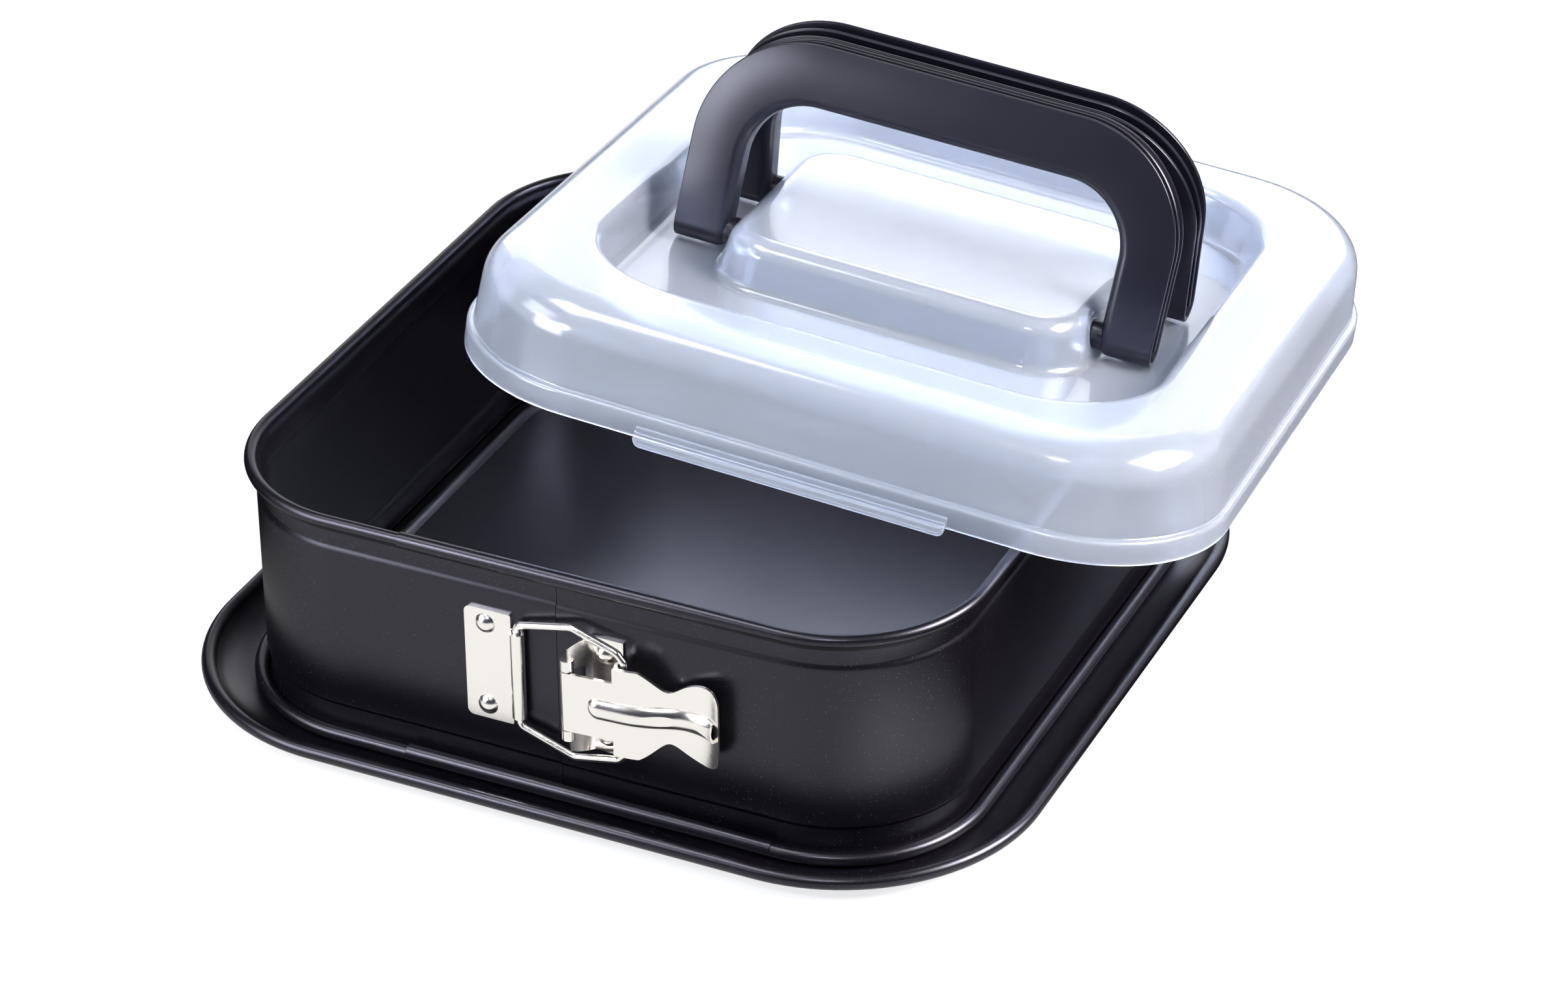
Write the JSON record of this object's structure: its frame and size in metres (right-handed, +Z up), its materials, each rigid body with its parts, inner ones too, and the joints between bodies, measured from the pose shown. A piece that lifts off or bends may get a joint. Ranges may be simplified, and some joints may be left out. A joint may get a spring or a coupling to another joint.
{
  "type": "cake carrier",
  "caption": "Square springform pan on a wide base tray, with an over-centre wire latch and a clear domed lid with two folding handles.",
  "frame": {"origin": "centre of the base tray's underside, on the table", "axes": "+Z up; -Y towards the latch wall; +X to the right when facing the latch"},
  "size_m": [0.3147, 0.3394, 0.1755],
  "materials": {
    "pan_coating": "satin non-stick coating",
    "nickel": "bright nickel plate",
    "lid_plastic": "translucent, lightly frosted",
    "handle_plastic": "satin gloss"
  },
  "bodies": {
    "tray": {"base_tray": "pan_coating"},
    "ring": {"ring_band": "pan_coating", "anchor_plate": "nickel", "anchor_rivet_lower": "nickel", "anchor_rivet_upper": "nickel", "lever_bracket": "nickel", "bracket_rivet_lower": "nickel", "bracket_rivet_upper": "nickel", "lever_pin": "nickel"},
    "lever": {"latch_lever": "nickel"},
    "bail": {"bail_wire": "nickel"},
    "lid": {"lid_shell": "lid_plastic"},
    "front_grip": {"front_handle": "handle_plastic"},
    "rear_grip": {"rear_handle": "handle_plastic"}
  },
  "joints": [
    {"name": "ring_lift", "type": "slide", "parent": "tray", "child": "ring", "axis": [0, 0, 1], "range_m": [0, 0.09]},
    {"name": "lid_lift", "type": "slide", "parent": "ring", "child": "lid", "axis": [0, 0, 1], "range_m": [0, 0.12]},
    {"name": "lever_swing", "type": "hinge", "parent": "ring", "child": "lever", "pos_m": [0.009, -0.12855, 0.0433], "axis": [0, 0, -1], "range_deg": [0, 130]},
    {"name": "bail_swing", "type": "hinge", "parent": "ring", "child": "bail", "pos_m": [-0.0106, -0.12335, 0.0433], "axis": [0, 0, -1], "range_deg": [0, 65]},
    {"name": "front_handle_fold", "type": "hinge", "parent": "lid", "child": "front_grip", "pos_m": [0.04466, 0.04946, 0.10502], "axis": [0.9918, 0.0667, -0.1086], "range_deg": [0, 101.98]},
    {"name": "rear_handle_fold", "type": "hinge", "parent": "lid", "child": "rear_grip", "pos_m": [0.0415, 0.08908, 0.10051], "axis": [-0.9918, -0.0667, 0.1086], "range_deg": [0, 101.98]}
  ],
  "couplings": [
    {"joint": "bail_swing", "follows": "lever_swing", "ratio": 0.5}
  ]
}
